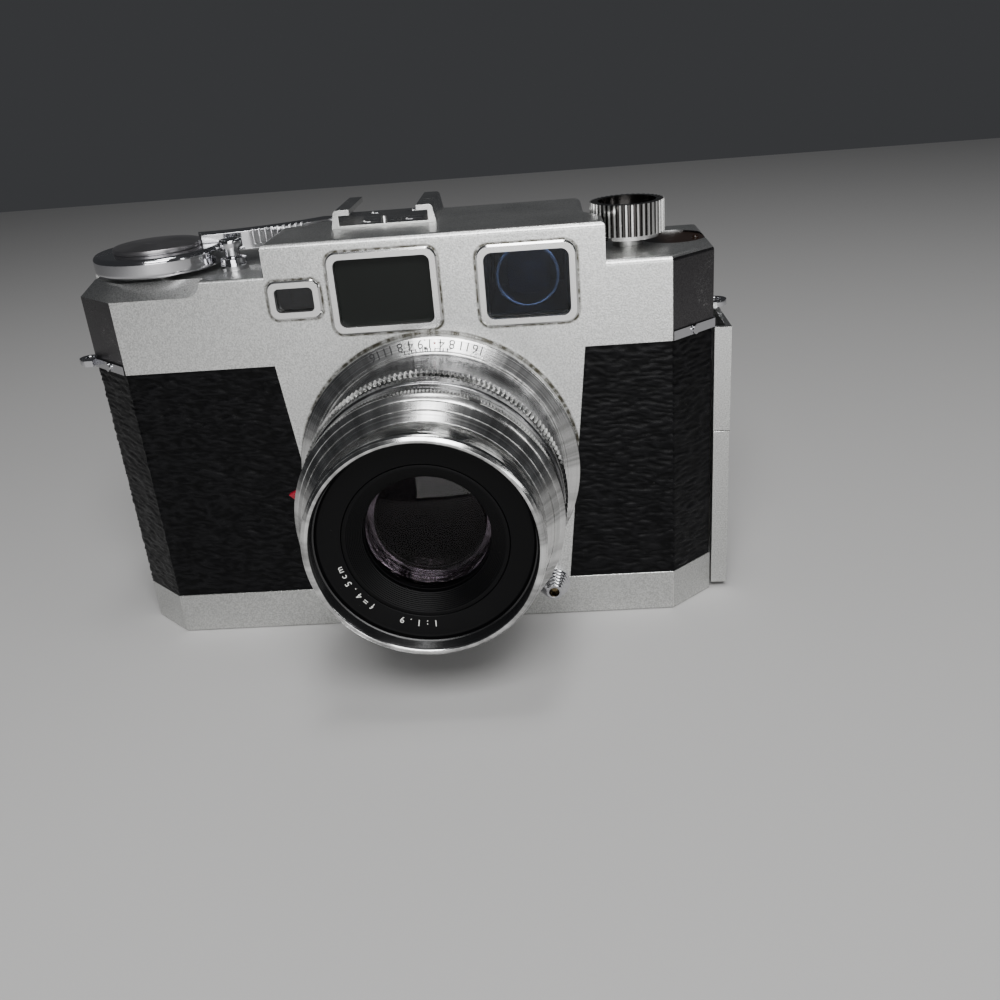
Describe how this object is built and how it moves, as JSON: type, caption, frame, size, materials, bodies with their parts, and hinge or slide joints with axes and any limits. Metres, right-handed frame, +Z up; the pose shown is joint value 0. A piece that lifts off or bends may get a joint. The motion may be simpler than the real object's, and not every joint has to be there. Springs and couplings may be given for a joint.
{
  "type": "rangefinder camera",
  "caption": "35 mm film rangefinder camera with a leaf-shutter lens, wind lever, accessory shoe, three front windows and a hinged back.",
  "frame": {"origin": "mouth of the tripod socket, in the base plane, midway between the ends of the front face", "axes": "+Z up, +X to the right of a person facing the lens, the lens points along -Y"},
  "size_m": [0.1425, 0.0734, 0.0918],
  "materials": {
    "cast_black": "matt black",
    "satin_cover": "satin",
    "leatherette": "grained",
    "window_glass": "polished",
    "frosted_glass": "frosted",
    "coated_glass": "coated",
    "mirror_glass": "silvered",
    "black_paint": "satin black",
    "polished_chrome": "polished",
    "steel": "turned",
    "brass_contact": "plain",
    "turned_brass": "turned",
    "turned_aluminium": "turned satin",
    "red_paint": "gloss",
    "blade_steel": "blued",
    "brushed_cap": "brushed",
    "black_plastic": "moulded"
  },
  "bodies": {
    "camera": {"body_casting": "cast_black", "base_plate": "satin_cover", "top_cover": "satin_cover", "leatherette_left": "leatherette", "leatherette_right": "leatherette", "rangefinder_window": "window_glass", "frameline_window": "frosted_glass", "viewfinder_window": "window_glass", "viewfinder_tunnel": "black_paint", "objective_lens": "coated_glass", "beam_splitter": "window_glass", "rangefinder_mirror": "mirror_glass", "eyepiece_frame": "black_paint", "eyepiece_glass": "window_glass", "accessory_shoe": "polished_chrome", "shoe_screws": "polished_chrome", "release_collar": "polished_chrome", "strap_lug_left": "polished_chrome", "strap_lug_right": "polished_chrome", "tripod_bush": "steel", "base_screws": "steel", "pc_socket": "polished_chrome", "pc_contact": "brass_contact", "hinge_bracket": "steel", "door_hinge_pin": "steel", "depth_scale_ring": "turned_aluminium", "helicoid_sleeve": "turned_brass"},
    "focus": {"focus_ring": "turned_aluminium"},
    "barrel": {"shutter_case": "turned_aluminium", "front_cover_ring": "turned_aluminium", "filter_ring": "turned_aluminium", "front_cell": "black_paint", "name_ring": "black_paint", "lens_baffle": "black_paint", "front_lens": "coated_glass", "middle_lens": "coated_glass", "rear_lens": "coated_glass", "shutter_blades": "blade_steel", "iris_blades": "blade_steel"},
    "aperture": {"aperture_ring": "turned_aluminium"},
    "speed": {"speed_ring": "turned_aluminium"},
    "timer": {"self_timer_lever": "red_paint"},
    "wind": {"wind_disc": "polished_chrome", "wind_arm": "polished_chrome", "wind_cap": "brushed_cap", "wind_shaft": "steel"},
    "release": {"release_button": "polished_chrome"},
    "rewind_bush": {"rewind_sleeve": "steel"},
    "rewind": {"rewind_knob": "satin_cover", "rewind_fork": "steel"},
    "dial": {"reminder_dial": "black_paint"},
    "door": {"back_door": "satin_cover", "back_leatherette": "leatherette", "pressure_spring": "steel"},
    "plate": {"pressure_plate": "black_paint"},
    "latch": {"door_latch": "satin_cover"},
    "film_sprocket": {"sprocket": "steel"},
    "spool": {"takeup_spool": "black_plastic"},
    "base_button": {"rewind_release": "steel"}
  },
  "joints": [
    {"name": "focus_turn", "type": "hinge", "parent": "camera", "child": "focus", "pos_m": [0.0072, -0.04, 0.0384], "axis": [0, -1, 0], "range_deg": [0, 120]},
    {"name": "barrel_extend", "type": "slide", "parent": "camera", "child": "barrel", "axis": [0, -1, 0], "range_m": [0, 0.0024]},
    {"name": "aperture_turn", "type": "hinge", "parent": "barrel", "child": "aperture", "pos_m": [0.0072, -0.04, 0.0384], "axis": [0, -1, 0], "range_deg": [-45, 45]},
    {"name": "speed_turn", "type": "hinge", "parent": "barrel", "child": "speed", "pos_m": [0.0072, -0.04, 0.0384], "axis": [0, -1, 0], "range_deg": [-60, 60]},
    {"name": "self_timer_swing", "type": "hinge", "parent": "barrel", "child": "timer", "pos_m": [0.0072, -0.04, 0.0384], "axis": [0, -1, 0], "range_deg": [0, 40]},
    {"name": "wind_swing", "type": "hinge", "parent": "camera", "child": "wind", "pos_m": [-0.05, -0.0015, 0.084], "axis": [0, 0, 1], "range_deg": [0, 170], "stiffness_Nm_per_rad": 0.002, "springref_deg": -17.19},
    {"name": "release_press", "type": "slide", "parent": "camera", "child": "release", "axis": [0, 0, -1], "range_m": [0, 0.0019], "stiffness_N_per_m": 200, "springref_m": -0.001},
    {"name": "rewind_lift", "type": "slide", "parent": "camera", "child": "rewind_bush", "axis": [0, 0, 1], "range_m": [0, 0.005]},
    {"name": "rewind_turn", "type": "hinge", "parent": "rewind_bush", "child": "rewind", "pos_m": [0.0495, -0.0014, 0.084], "axis": [0, 0, 1], "continuous": true},
    {"name": "dial_turn", "type": "hinge", "parent": "camera", "child": "dial", "pos_m": [0.0594, 0.0032, 0.08], "axis": [0, 0, 1], "continuous": true},
    {"name": "door_swing", "type": "hinge", "parent": "camera", "child": "door", "pos_m": [-0.0649, 0.0152, 0.036], "axis": [0, 0, 1], "range_deg": [0, 110]},
    {"name": "plate_press", "type": "slide", "parent": "door", "child": "plate", "axis": [0, 1, 0], "range_m": [0, 0.0004], "stiffness_N_per_m": 400, "springref_m": -0.0005},
    {"name": "latch_slide", "type": "slide", "parent": "door", "child": "latch", "axis": [0, 0, -1], "range_m": [0, 0.003]},
    {"name": "sprocket_turn", "type": "hinge", "parent": "camera", "child": "film_sprocket", "pos_m": [-0.0245, 0.007, 0.037], "axis": [0, 0, 1], "continuous": true},
    {"name": "spool_turn", "type": "hinge", "parent": "camera", "child": "spool", "pos_m": [-0.05, -0.0015, 0.037], "axis": [0, 0, 1], "continuous": true},
    {"name": "base_button_press", "type": "slide", "parent": "camera", "child": "base_button", "axis": [0, 0, 1], "range_m": [0, 0.0007], "stiffness_N_per_m": 200, "springref_m": -0.001}
  ],
  "couplings": [
    {"joint": "focus_turn", "follows": "barrel_extend", "rad_per_m": 872.6},
    {"joint": "spool_turn", "follows": "sprocket_turn", "ratio": 0.946}
  ]
}
